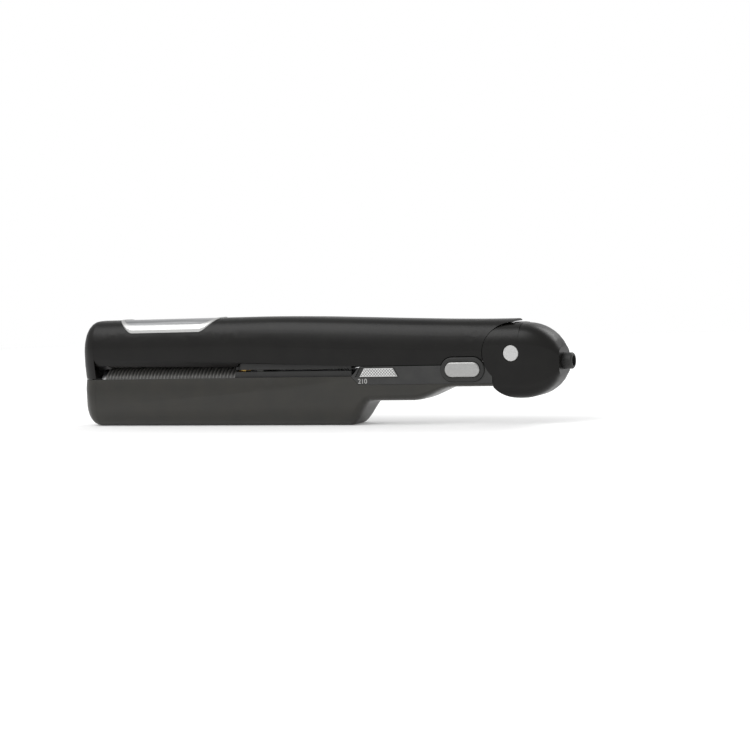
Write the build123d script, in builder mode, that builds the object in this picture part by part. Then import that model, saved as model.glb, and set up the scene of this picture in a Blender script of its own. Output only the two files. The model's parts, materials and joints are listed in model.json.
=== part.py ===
"""Hair crimper with two rotating rippled barrels, as an assembly of separate pieces.

Frame: +X runs from the nose to the cord end, +Z up, -Y is the side with the switch and the button.
The origin lies on the resting flat, under the middle of the barrels.
"""

from build123d import *
from math import acos, cos, pi, radians, sin, sqrt, tan
import os

os.makedirs("parts", exist_ok=True)

# ---- Driving dimensions, in millimetres ----

# Outline along the length
nose_x = -65.5
cap_x = -54.0
taper_start_x = 60.0
belly_end_x = 120.0
shoulder_start_x = 130.0
shoulder_end_x = 145.0
scoop_start_x = 174.0
scoop_end_x = 202.0
casing_end_x = 228.5
tail_x = 269.5

# Cross-section of the arms
arm_half = 15.5
foot_half = 7.0
belly_share = 0.6
handle_belly_share = 0.3
draft = 0.15
wall = 2.2
rim_z = 31.0
rim_half = 13.5
crease_z = 22.0
handle_bottom_z = 15.3
scoop_bottom_z = 23.6
handle_top_z = 37.2
arm_parting = 0.5
top_drop = 5.2
top_half = 3.0
shoulder_height = 18.7
shoulder_rear_height = 19.0
shoulder_rise_start_x = 55.0
shoulder_rise_end_x = 150.0
lip_half = 12.5
lip_drop = 2.15
undercut_height = 6.85
undercut_fall = 7.0
undercut_power = 1.15
lip_step = 2.8
lip_overcut = 1.85
crease_run = 3.5
side_lean = 1.0

# Rippled barrels
ripple_pitch = 2.6
ripple_count = 38
ripple_depth = 1.0
crest_r = 11.0
barrel_gap = 0.3
barrel_bore_r = 8.0
barrel_axis_z = 27.2

# Core, bushes and gears
core_r = 5.0
journal_r = 3.0
journal_length = 4.9
core_tail = 14.5
heater_r = 7.2
heater_length = 78.0
bush_length = 5.5
collar_r = 9.8
collar_length = 2.7
gear_module = 0.7
ring_teeth = 24
pinion_teeth = 12
gear_width = 4.0
gear_slack = 0.07
ring_addendum = 0.8
ring_bore_gap = 0.6
pinion_gap = 0.7
shaft_r = 1.5
shaft_grip = 4.0
running_gap = 0.05
end_gap = 0.4

# Gearmotors and their mounts
mount_gap = 2.0
mount_thickness = 2.0
mount_half = 8.0
gearbox_length = 9.0
motor_length = 15.0
motor_r = 6.0
motor_flat = 5.0
motor_room = 1.2
motor_boss_r = 2.4
motor_boss_length = 1.0

# Inner plates and the rest bumper
plate_start_x = 55.4
guard_start_x = 50.0
plate_end_x = 133.0
plate_top_z = 34.7
plate_thickness = 1.2
plate_depth = 5.0
bumper_x = 67.0
bumper_length = 5.0
bumper_margin = 5.5
bumper_height = 1.2
bumper_gap = 0.2
bumper_edge = 0.4
plate_screw_xs = (90.0, 125.0)
boss_r = 3.0
boss_blind = 4.0

# Side panel, slide switch and button
panel_start_x = 133.5
panel_thickness = 1.2
panel_bottom_z = 25.8
slot_bottom_z = 30.6
slot_height = 5.9
slot_start_x = 136.2
slot_base = 29.9
thumb_travel = 3.5
thumb_clearance = 0.3
thumb_edge = 0.4
tray_gap = 0.02
thumb_rise = 1.1
side_slope = 0.6
button_x = 209.0
button_z = 34.6
button_length = 23.0
button_height = 9.3
button_gap = 0.3
button_travel = 1.2
bezel_width = 2.9
bezel_rise = 0.9
button_rise = 0.9
button_edge = 0.6
button_flange = 1.0
button_flange_thickness = 0.5
bezel_edge = 0.5
board_depth = 8.1
board_thickness = 1.6
board_gap = 0.6
board_start_x = 146.0
board_end_x = 221.0
board_z = 32.9
board_height = 10.2
board_post_xs = (176.0, 190.0)
board_post_r = 2.0
stem_length = 3.0
stem_height = 2.0
slit_height = 2.6
tray_thickness = 0.6
switch_body_length = 14.0
switch_body_height = 5.5
switch_grip = 1.2
tact_side = 6.0
tact_plunger_r = 1.7
tact_plunger = 0.7

# Hinge, rear housing and cord outlet
pin_x = 240.5
pin_z = 44.0
pin_r = 2.5
drum_r = 18.4
drum_gap = 0.4
drum_wall = 2.2
cap_r = 5.0
cap_seat = 1.0
cap_thickness = 0.8
cap_edge = 0.3
bracket_half = 5.5
bracket_start_x = 180.0
bracket_depth = 14.3
bracket_height = 6.5
bracket_web = 1.5
bracket_wall = 1.6
bracket_bend = 18.0
bracket_screw_steps = (5.0, 18.0)
eye_r = 6.0
slot_clearance = 0.7
spring_thickness = 0.7
spring_width = 7.0
spring_flat = 12.0
spring_setback = 4.0
tongue_start_x = 212.0
tongue_z = 27.6
tongue_thickness = 3.0
tongue_screw_step = 5.0
tongue_screw_half = 4.0
gland_z = 38.0
gland_r = 5.0
gland_bore_r = 3.2
gland_flange_r = 7.0
gland_flange = 3.0
gland_out = 6.0
gland_edge = 0.8
tail_wall = 3.2
tail_low_z = 16.2
tail_bluntness = 0.93
tail_flatness = 0.45

# Window on the top of the upper arm
window_length = 76.0
window_margin = 2.0
window_frame = 2.2
window_depth = 1.1
window_proud = 0.5
seat_gap = 0.1

# Screws
screw_r = 1.0
head_r = 1.8
head_height = 1.2
drive_width = 0.5
drive_depth = 0.6
plate_screw_length = 8.0
board_screw_grip = 2.0
bracket_screw_length = 7.0
handle_screw_length = 4.5

# ---- Sizes that follow from them ----

barrel_length = ripple_pitch * ripple_count
barrel_end_x = barrel_length / 2
valley_r = crest_r - ripple_depth
upper_axis_z = barrel_axis_z + crest_r + valley_r + barrel_gap
lip_rear_z = (barrel_axis_z + upper_axis_z) / 2
lip_front_z = lip_rear_z + lip_drop
undercut_front_z = lip_rear_z + undercut_height
upper_base_z = lip_rear_z - lip_overcut
ring_pitch_r = gear_module * ring_teeth / 2
pinion_pitch_r = gear_module * pinion_teeth / 2
gear_distance = ring_pitch_r + pinion_pitch_r
top_z = upper_axis_z + gear_distance + motor_flat + motor_room + wall
shoulder_z = top_z - shoulder_height
bracket_z = top_z - top_drop - bracket_depth
window_width = 2 * (arm_half - window_margin)
gear_end_x = barrel_end_x + gear_width + seat_gap
mount_x = gear_end_x + mount_gap
motor_x = mount_x + mount_thickness
collar_x = -barrel_end_x - collar_length
plug_x = collar_x - end_gap
lip_z = handle_top_z + arm_parting
lip_step_start_x = barrel_end_x + 2
lip_step_end_x = barrel_end_x + 5
wall_face_y = -arm_half
inner_y = -arm_half + wall
board_y = -arm_half + board_depth
tongue_half = -board_y - board_gap
floor_z = wall
drum_inner_r = drum_r - drum_wall
end_x = tail_x + gland_out
screw_x = tongue_start_x + tongue_screw_step
tongue_screws = [(screw_x, tongue_screw_half), (screw_x, -tongue_screw_half)]
ramp = handle_top_z - rim_z
plate_bottom_z = plate_top_z + bumper_height + bumper_gap
bracket_screw_xs = [bracket_start_x + step for step in bracket_screw_steps]
clear = 2.0


def blend(start, end, x, x0, x1):
    """Ease from start at x0 to end at x1."""
    t = min(max((x - x0) / (x1 - x0), 0), 1)
    return start + (end - start) * t * t * (3 - 2 * t)


def steps(start, end, count):
    """Count evenly spaced places from start, stopping one step short of end."""
    return [start + (end - start) * i / count for i in range(count)]


# ---- Outlines of the two arms, as functions of the place along the length ----


def lower_bottom(x):
    arm_to_handle = blend(0, handle_bottom_z, x, shoulder_start_x, shoulder_end_x)
    rise = blend(0, scoop_bottom_z - handle_bottom_z, x, scoop_start_x, scoop_end_x)
    return arm_to_handle + rise


def lower_crease(x):
    t = min(max((x - taper_start_x) / (panel_start_x + crease_run - taper_start_x), 0), 1)
    return crease_z + (rim_z - crease_z) * t * t


def lower_top_half(x):
    lean = (arm_half - rim_half) / (rim_z - crease_z)
    narrow = rim_half - lean * (handle_top_z - rim_z)
    return blend(narrow, arm_half - draft, x, taper_start_x, panel_start_x)


def upper_crease(x):
    t = min(max((x - cap_x) / (panel_start_x + crease_run - cap_x), 0), 1)
    return undercut_front_z - undercut_fall * t**undercut_power


def upper_top(x):
    return top_z - blend(0, top_drop, x, taper_start_x, pin_x)


def upper_shoulder(x):
    rear_z = upper_top(pin_x) - shoulder_rear_height
    return blend(shoulder_z, rear_z, x, shoulder_rise_start_x, shoulder_rise_end_x)


def lower_section(x, inset, rise):
    """Closed outline of the lower arm at x, moved in by inset, its open top raised by rise."""
    half = arm_half - inset
    top = lower_top_half(x) - inset
    foot = foot_half - inset
    bottom = lower_bottom(x + inset / 2) + inset
    crease = lower_crease(x)
    share = blend(belly_share, handle_belly_share, x, belly_end_x, shoulder_end_x)
    side = bottom + share * (crease - bottom)
    with BuildSketch(Plane.YZ.offset(x), mode=Mode.PRIVATE) as outline:
        with BuildLine():
            Polyline((top, handle_top_z + rise), (half, crease), (half, side))
            Bezier((half, side), (half, bottom), (foot, bottom))
            Line((foot, bottom), (-foot, bottom))
            Bezier((-foot, bottom), (-half, bottom), (-half, side))
            Polyline((-half, side), (-half, crease), (-top, handle_top_z + rise))
            Line((-top, handle_top_z + rise), (top, handle_top_z + rise))
        make_face()
    return outline.sketch


def upper_section(x, inset, bottom_z, bottom_half):
    """Closed outline of the upper arm at x, moved in by inset, open end at bottom_z."""
    half = arm_half - inset
    low = bottom_half - inset
    top = upper_top(x) - inset
    crease = upper_crease(x)
    side = upper_shoulder(x)
    lean = half - side_lean
    with BuildSketch(Plane.YZ.offset(x), mode=Mode.PRIVATE) as outline:
        with BuildLine():
            Polyline((low, bottom_z), (half, crease), (half, side))
            Bezier((half, side), (lean, top), (top_half, top))
            Line((top_half, top), (-top_half, top))
            Bezier((-top_half, top), (-lean, top), (-half, side))
            Polyline((-half, side), (-half, crease), (-low, bottom_z))
            Line((-low, bottom_z), (low, bottom_z))
        make_face()
    return outline.sketch


def rim_inside(x):
    """Half width between the inner walls of the lower arm at the rim."""
    share = (rim_z - lower_crease(x)) / (handle_top_z + 1 - lower_crease(x))
    return arm_half - wall + (lower_top_half(x) - arm_half) * share


def lip_line(x):
    """Height of the upper arm's lower edge behind the barrel."""
    if x <= lip_step_start_x:
        return lip_rear_z
    share = min(max((x - lip_step_end_x) / (plate_end_x - lip_step_end_x), 0), 1)
    return lip_z + lip_step * (1 - share)


def lip_inside(x):
    """Half width between the inner walls of the upper arm at its lower edge."""
    share = (upper_crease(x) - lip_line(x)) / (upper_crease(x) - upper_base_z + 1)
    return arm_half - wall + (undercut_half(x) - arm_half) * share


def undercut_half(x):
    """Half width of the upper arm's loft at its lower end, below the lip."""
    return blend(lip_half - clear, arm_half - draft, x, taper_start_x, panel_start_x)


def gear_outline(teeth, addendum):
    """Points of an involute gear, 20 degree pressure angle, a tooth at angle zero."""
    pressure = radians(20)
    pitch_r = gear_module * teeth / 2
    base_r = pitch_r * cos(pressure)
    root_r = pitch_r - 1.25 * gear_module
    tip_r = pitch_r + addendum * gear_module
    half_tooth = pi / (2 * teeth) - gear_slack / pitch_r
    start_r = max(base_r, root_r)
    flank = [start_r + (tip_r - start_r) * i / 3 for i in range(4)]
    spread = tan(pressure) - pressure

    def half_angle(r):
        at_r = acos(min(base_r / r, 1))
        return half_tooth + spread - (tan(at_r) - at_r)

    right = [(root_r, -half_angle(start_r))] + [(r, -half_angle(r)) for r in flank]
    left = [(r, -a) for r, a in reversed(right)]
    points = []
    for tooth in range(teeth):
        turn = 2 * pi * tooth / teeth
        points += [(r * cos(a + turn), r * sin(a + turn)) for r, a in right + left]
    return points


# ---- Casings ----

lower_stations = [cap_x]
lower_stations += steps(taper_start_x, shoulder_start_x, 7)
lower_stations += steps(shoulder_start_x, shoulder_end_x, 8)
lower_stations += [shoulder_end_x]
lower_stations += steps(scoop_start_x, scoop_end_x, 7)
lower_stations += [scoop_end_x, casing_end_x]
upper_stations = [cap_x, 0]
upper_stations += steps(shoulder_rise_start_x, shoulder_rise_end_x, 9)
upper_stations += steps(shoulder_rise_end_x, pin_x, 6)
upper_stations += [pin_x]

with BuildPart() as lower_casing:
    loft([lower_section(x, 0, 0) for x in lower_stations], ruled=True)
    inside_stations = [cap_x - 1] + lower_stations[1:-1] + [casing_end_x + 1]
    loft(
        [lower_section(x, wall, 1) for x in inside_stations],
        ruled=True,
        mode=Mode.SUBTRACT,
    )
    # the rim, and the ramp up to the handle
    with BuildSketch(Plane.XZ):
        with BuildLine():
            Polyline(
                (cap_x - clear, rim_z),
                (panel_start_x, rim_z),
                (panel_start_x + ramp, handle_top_z),
                (panel_start_x + ramp, handle_top_z + clear),
                (cap_x - clear, handle_top_z + clear),
                close=True,
            )
        make_face()
    extrude(amount=arm_half + 1, both=True, mode=Mode.SUBTRACT)
    # wall that closes the front of the handle, behind the ramp
    with BuildSketch(Plane.XZ):
        with BuildLine():
            run = wall * sqrt(2)
            Polyline(
                (panel_start_x, rim_z),
                (panel_start_x + ramp, handle_top_z),
                (panel_start_x + ramp + run, handle_top_z),
                (panel_start_x + run, rim_z),
                close=True,
            )
        make_face()
    extrude(amount=arm_half - wall / 2, both=True)
    # ear that carries the button's ring
    with BuildSketch(Plane.XZ.offset(-wall_face_y - wall)):
        with Locations((button_x, button_z)):
            SlotOverall(button_length + 2 * bezel_width, button_height + 2 * bezel_width)
    extrude(amount=wall)
    with BuildSketch(Plane.XZ.offset(-wall_face_y - wall - 1)):
        with Locations((button_x, button_z)):
            SlotOverall(button_length + 2 * button_gap, button_height + 2 * button_gap)
    extrude(amount=wall + 2, mode=Mode.SUBTRACT)
    # bosses that carry the inner plate
    with BuildSketch(Plane.XY.offset(floor_z - 0.5)):
        with Locations(*[(x, 0) for x in plate_screw_xs]):
            Circle(boss_r)
    extrude(amount=plate_top_z - plate_thickness - floor_z + 0.5)
    with BuildSketch(Plane.XY.offset(floor_z + boss_blind)):
        with Locations(*[(x, 0) for x in plate_screw_xs]):
            Circle(screw_r)
    extrude(amount=plate_top_z - floor_z, mode=Mode.SUBTRACT)
    # posts that carry the control board
    with BuildSketch(Plane.XZ.offset(-board_y + board_thickness)):
        with Locations(*[(x, board_z) for x in board_post_xs]):
            Circle(board_post_r)
    extrude(amount=-inner_y + board_y - board_thickness + wall / 4)
    with BuildSketch(Plane.XZ.offset(-board_y + board_thickness)):
        with Locations(*[(x, board_z) for x in board_post_xs]):
            Circle(screw_r)
    extrude(amount=board_screw_grip + draft, mode=Mode.SUBTRACT)
    # recess for the side panel, and the switch's way through the wall
    with BuildSketch(Plane.XZ.offset(arm_half - panel_thickness)):
        with BuildLine():
            panel_outline = [
                (panel_start_x, rim_z),
                (panel_start_x + ramp, handle_top_z),
                (casing_end_x + 1, handle_top_z),
                (casing_end_x + 1, panel_bottom_z),
                (panel_start_x + rim_z - panel_bottom_z, panel_bottom_z),
            ]
            Polyline(*panel_outline, close=True)
        make_face()
        with Locations((button_x, button_z)):
            SlotOverall(
                button_length + 2 * bezel_width,
                button_height + 2 * bezel_width,
                mode=Mode.SUBTRACT,
            )
    extrude(amount=panel_thickness + 2, mode=Mode.SUBTRACT)
    with BuildSketch(Plane.XZ.offset(-inner_y - 1)):
        with Locations((slot_start_x + slot_base / 2, slot_bottom_z + slot_height / 2)):
            Rectangle(slot_base - 10, slot_height - 2)
    extrude(amount=wall + 2, mode=Mode.SUBTRACT)
    # round seat of the rear housing, and the screw holes of its tongue
    with BuildSketch(Plane.XZ):
        with Locations((pin_x, pin_z)):
            Circle(drum_r + seat_gap)
    extrude(amount=arm_half + 5, both=True, mode=Mode.SUBTRACT)
    with BuildSketch(Plane.XY.offset(lower_bottom(screw_x) - 1)):
        with Locations(*tongue_screws):
            Circle(screw_r)
    extrude(amount=wall + 3, mode=Mode.SUBTRACT)
    with BuildSketch(Plane.XY.offset(lower_bottom(screw_x) - 1)):
        with Locations(*tongue_screws):
            Circle(head_r + seat_gap)
    extrude(amount=head_height + 1, mode=Mode.SUBTRACT)
lower_casing.part.label = "lower_casing"
export_step(lower_casing.part, "parts/lower_casing.step")

# space under the window, a stadium in plan whose floor follows the top of the arm
with BuildPart() as window_space:
    with BuildSketch(Plane.XY.offset(shoulder_z + clear)):
        SlotOverall(window_length + 2 * seat_gap, window_width + 2 * seat_gap)
    extrude(amount=top_z - shoulder_z)
    floor_inset = window_depth + seat_gap
    seat_section = upper_section(-window_length, floor_inset, upper_base_z, lip_half)
    extrude(seat_section, amount=2 * window_length, mode=Mode.SUBTRACT)

with BuildPart() as upper_casing:
    outer_sections = [upper_section(x, 0, upper_base_z, undercut_half(x)) for x in upper_stations]
    loft(outer_sections, ruled=True)
    inside_stations = [cap_x - 1] + upper_stations[1:-1] + [pin_x + 1]
    loft(
        [upper_section(x, wall, upper_base_z - 1, undercut_half(x)) for x in inside_stations],
        ruled=True,
        mode=Mode.SUBTRACT,
    )
    # the lip line, which steps up behind the barrel
    with BuildSketch(Plane.XZ):
        with BuildLine():
            Polyline(
                (cap_x - clear, rim_z),
                (cap_x - clear, lip_front_z),
                (barrel_end_x, lip_rear_z),
                (lip_step_start_x, lip_rear_z),
                (lip_step_end_x, lip_z + lip_step),
                (plate_end_x, lip_z),
                (pin_x + clear, lip_z),
                (pin_x + clear, rim_z),
                close=True,
            )
        make_face()
    extrude(amount=arm_half + 1, both=True, mode=Mode.SUBTRACT)
    # room for the drum of the rear housing, round the hinge axis
    with BuildSketch(Plane.XZ):
        with Locations((pin_x, pin_z)):
            Circle(drum_r + drum_gap)
    extrude(amount=arm_half + 5, both=True, mode=Mode.SUBTRACT)
    # notch round the button's ear
    with BuildSketch(Plane.XZ.offset(-inner_y - 2)):
        with Locations((button_x, button_z)):
            SlotOverall(
                button_length + 2 * bezel_width + 2 * arm_parting,
                button_height + 2 * bezel_width + 2 * arm_parting,
            )
    extrude(amount=wall + 4, mode=Mode.SUBTRACT)
    # bosses for the inner plate and for the hinge bracket
    boss_start = plate_bottom_z + plate_thickness
    for x in plate_screw_xs:
        with BuildSketch(Plane.XY.offset(boss_start)):
            with Locations((x, 0)):
                Circle(boss_r)
                Circle(screw_r, mode=Mode.SUBTRACT)
        extrude(amount=upper_top(x) - wall / 2 - boss_start)
    for x in bracket_screw_xs:
        with BuildSketch(Plane.XY.offset(bracket_z + bracket_web)):
            with Locations((x, 0)):
                Circle(boss_r)
                Circle(screw_r, mode=Mode.SUBTRACT)
        extrude(amount=upper_top(x) - wall / 2 - bracket_z - bracket_web)
    # seat of the window: a stadium pocket that follows the top
    add(window_space.part, mode=Mode.SUBTRACT)
upper_casing.part.label = "upper_casing"
export_step(upper_casing.part, "parts/upper_casing.step")

# ---- Nose caps: solid ends that round off the arms, each with a plug and a core socket ----


def cap_scales():
    """Places towards the tip and how full the section still is there."""
    length = cap_x - nose_x
    shares = (0, 0.2, 0.38, 0.55, 0.7, 0.82, 0.92, 0.98, 1.0)
    return [(cap_x - length * u, sqrt(max(1 - (u * 0.985) ** 2, 0))) for u in shares]


def cap_outline(x, low, low_half, mid, side, high, high_half, full):
    """One section of a nose cap: low face, crease, vertical, and a round far side."""
    centre = (low * 2 + high) / 3
    half = arm_half * (0.3 + 0.7 * full)
    near = low_half * (0.3 + 0.7 * full)
    flat = high_half * (0.3 + 0.7 * full)
    far = centre + (high - centre) * (0.25 + 0.75 * full)
    knee = low + (mid - low) * (0.4 + 0.6 * full)
    rise = centre + (side - centre) * (0.25 + 0.75 * full)
    lean = half - (side_lean if high > low else 0)
    with BuildSketch(Plane.YZ.offset(x), mode=Mode.PRIVATE) as outline:
        with BuildLine():
            Polyline((near, low), (half, knee), (half, rise))
            Bezier((half, rise), (lean, far), (flat, far))
            Line((flat, far), (-flat, far))
            Bezier((-flat, far), (-lean, far), (-half, rise))
            Polyline((-half, rise), (-half, knee), (-near, low))
            Line((-near, low), (near, low))
        make_face()
    return outline.sketch


lower_side = belly_share * crease_z
chin_z = rim_z + arm_parting
chin_half = rim_half + 0.2
upper_knee = upper_crease(cap_x)

with BuildPart() as lower_nose_cap:
    scales = cap_scales()
    sections = [
        cap_outline(x, rim_z, rim_half, crease_z, lower_side, 0, foot_half, full)
        for x, full in scales
    ]
    loft(sections, ruled=True)
    plug = lower_section(cap_x, wall + seat_gap, 0)
    extrude(plug, amount=plug_x - cap_x)
    with BuildSketch(Plane.XY.offset(rim_z)):
        Rectangle(300, 60)
    extrude(amount=20, mode=Mode.SUBTRACT)
    with BuildSketch(Plane.YZ.offset(plug_x - journal_length)):
        with Locations((0, barrel_axis_z)):
            Circle(journal_r + running_gap)
    extrude(amount=journal_length + 1, mode=Mode.SUBTRACT)
lower_nose_cap.part.label = "lower_nose_cap"
export_step(lower_nose_cap.part, "parts/lower_nose_cap.step")

with BuildPart() as upper_nose_cap:
    sections = [
        cap_outline(x, chin_z, chin_half, upper_knee, shoulder_z, top_z, top_half, full)
        for x, full in scales
    ]
    loft(sections, ruled=True)
    plug = upper_section(cap_x, wall + seat_gap, upper_base_z, undercut_half(cap_x))
    extrude(plug, amount=plug_x - cap_x)
    with BuildSketch(Plane.YZ.offset(plug_x - journal_length)):
        with Locations((0, upper_axis_z)):
            Circle(journal_r + running_gap)
    extrude(amount=journal_length + 1, mode=Mode.SUBTRACT)
upper_nose_cap.part.label = "upper_nose_cap"
export_step(upper_nose_cap.part, "parts/upper_nose_cap.step")

# ---- Inner plates: channels that close the arms behind the barrels ----


plate_stations = [guard_start_x, lip_step_start_x]
plate_stations += steps(lip_step_end_x, plate_end_x, 6)
plate_stations += [plate_end_x]


def make_inner_plate(label, face_z, half_at, up):
    """Channel whose face lies at face_z; its sides run away from it, up or down."""
    with BuildPart() as plate:
        outer = []
        inner = []
        for x in plate_stations:
            for grow, group in ((0, outer), (1, inner)):
                side = half_at(x) - 2 * seat_gap - grow * plate_thickness
                near = face_z + up * grow * plate_thickness
                far = face_z + up * (plate_depth + grow)
                with BuildSketch(Plane.YZ.offset(x), mode=Mode.PRIVATE) as shape:
                    with BuildLine():
                        Polyline((-side, near), (side, near), (side, far), (-side, far), close=True)
                    make_face()
                group.append(shape.sketch)
        loft(outer, ruled=True)
        loft(inner, ruled=True, mode=Mode.SUBTRACT)
        # the deck stops short of the gears, and its sides run on as guards
        with BuildSketch(Plane.XY.offset(face_z)):
            with Locations(((guard_start_x + plate_start_x) / 2, 0)):
                open_half = half_at(guard_start_x) - 2 * seat_gap - plate_thickness
                Rectangle(plate_start_x - guard_start_x, 2 * open_half)
        extrude(amount=up * plate_thickness, mode=Mode.SUBTRACT)
        with BuildSketch(Plane.XY.offset(face_z)):
            with Locations(*[(x, 0) for x in plate_screw_xs]):
                Circle(screw_r)
        extrude(amount=up * plate_thickness, mode=Mode.SUBTRACT)
        with BuildSketch(Plane.XY.offset(face_z)):
            with Locations(*[(x, 0) for x in plate_screw_xs]):
                Circle(head_r + seat_gap)
        extrude(amount=up * head_height, mode=Mode.SUBTRACT)
    plate.part.label = label
    export_step(plate.part, f"parts/{label}.step")
    return plate.part


make_inner_plate("lower_inner_plate", plate_top_z, rim_inside, -1)
make_inner_plate("upper_inner_plate", plate_bottom_z, lip_inside, 1)

with BuildPart() as rest_bumper:
    with BuildSketch(Plane.XY.offset(plate_top_z)):
        with Locations((bumper_x, 0)):
            RectangleRounded(bumper_length, 2 * (arm_half - bumper_margin), 1)
    extrude(amount=bumper_height)
    fillet(rest_bumper.edges().group_by(Axis.Z)[-1], bumper_edge)
rest_bumper.part.label = "rest_bumper"
export_step(rest_bumper.part, "parts/rest_bumper.step")


def make_screws(label, places, axis, shank):
    """Pan-head screws: places hold the underside of each head, axis points to the tip."""
    with BuildPart() as screws:
        for place in places:
            plane = Plane(origin=place, z_dir=axis)
            with BuildSketch(plane):
                Circle(screw_r)
            extrude(amount=shank)
            with BuildSketch(plane):
                Circle(head_r)
            extrude(amount=-head_height)
            with BuildSketch(plane.offset(-head_height)):
                Rectangle(2 * screw_r, drive_width)
                Rectangle(drive_width, 2 * screw_r)
            extrude(amount=drive_depth, mode=Mode.SUBTRACT)
    screws.part.label = label
    export_step(screws.part, f"parts/{label}.step")


lower_plate_places = [(x, 0, plate_top_z - head_height) for x in plate_screw_xs]
upper_plate_places = [(x, 0, plate_bottom_z + head_height) for x in plate_screw_xs]
make_screws("lower_plate_screws", lower_plate_places, (0, 0, -1), plate_screw_length)
make_screws("upper_plate_screws", upper_plate_places, (0, 0, 1), plate_screw_length)

# ---- Barrels: rippled sleeves on bushes round a fixed core, each turned by a gear pair ----


def make_barrel(label, axis_z, first_is_crest):
    """Sleeve whose outside is a row of ripples, with a plain bore."""
    with BuildPart() as barrel:
        with BuildSketch(Plane.XZ):
            with BuildLine():
                ripples = []
                for i in range(2 * ripple_count + 1):
                    crest = (i % 2 == 0) == first_is_crest
                    r = crest_r if crest else valley_r
                    ripples.append((-barrel_end_x + i * ripple_pitch / 2, axis_z + r))
                bore_z = axis_z + barrel_bore_r
                ends = [(barrel_end_x, bore_z), (-barrel_end_x, bore_z)]
                Polyline(*ripples, *ends, close=True)
            make_face()
        revolve(axis=Axis((0, 0, axis_z), (1, 0, 0)))
    barrel.part.label = label
    export_step(barrel.part, f"parts/{label}.step")


def make_ring(label, axis_z, steps):
    """Turned piece on a barrel's axis: steps of (start, end, outer radius, bore radius)."""
    with BuildPart() as ring:
        for start, end, outer_r, bore_r in steps:
            with BuildSketch(Plane.YZ.offset(start)):
                with Locations((0, axis_z)):
                    Circle(outer_r)
                    if bore_r > 0:
                        Circle(bore_r, mode=Mode.SUBTRACT)
            extrude(amount=end - start)
    ring.part.label = label
    export_step(ring.part, f"parts/{label}.step")


def make_gear(label, start_x, axis_z, teeth, addendum, turn, bore_r, shaft_end_x):
    """Spur gear on an X axis, with a bore, or with a shaft that ends at shaft_end_x."""
    with BuildPart() as gear:
        with BuildSketch(Plane.YZ.offset(start_x)):
            with Locations(Location((0, axis_z, 0), (0, 0, turn))):
                with BuildSketch(mode=Mode.PRIVATE) as outline:
                    with BuildLine():
                        Polyline(*gear_outline(teeth, addendum), close=True)
                    make_face()
                add(outline.sketch)
            if bore_r > 0:
                with Locations((0, axis_z)):
                    Circle(bore_r, mode=Mode.SUBTRACT)
        extrude(amount=gear_width)
        if shaft_end_x > 0:
            with BuildSketch(Plane.YZ.offset(start_x + gear_width)):
                with Locations((0, axis_z)):
                    Circle(shaft_r)
            extrude(amount=shaft_end_x - start_x - gear_width)
    gear.part.label = label
    export_step(gear.part, f"parts/{label}.step")


bush_bore_r = core_r + running_gap
core_start_x = collar_x
core_end_x = barrel_end_x + core_tail
pinion_start_x = barrel_end_x + pinion_gap
shaft_end_x = motor_x + shaft_grip


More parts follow.
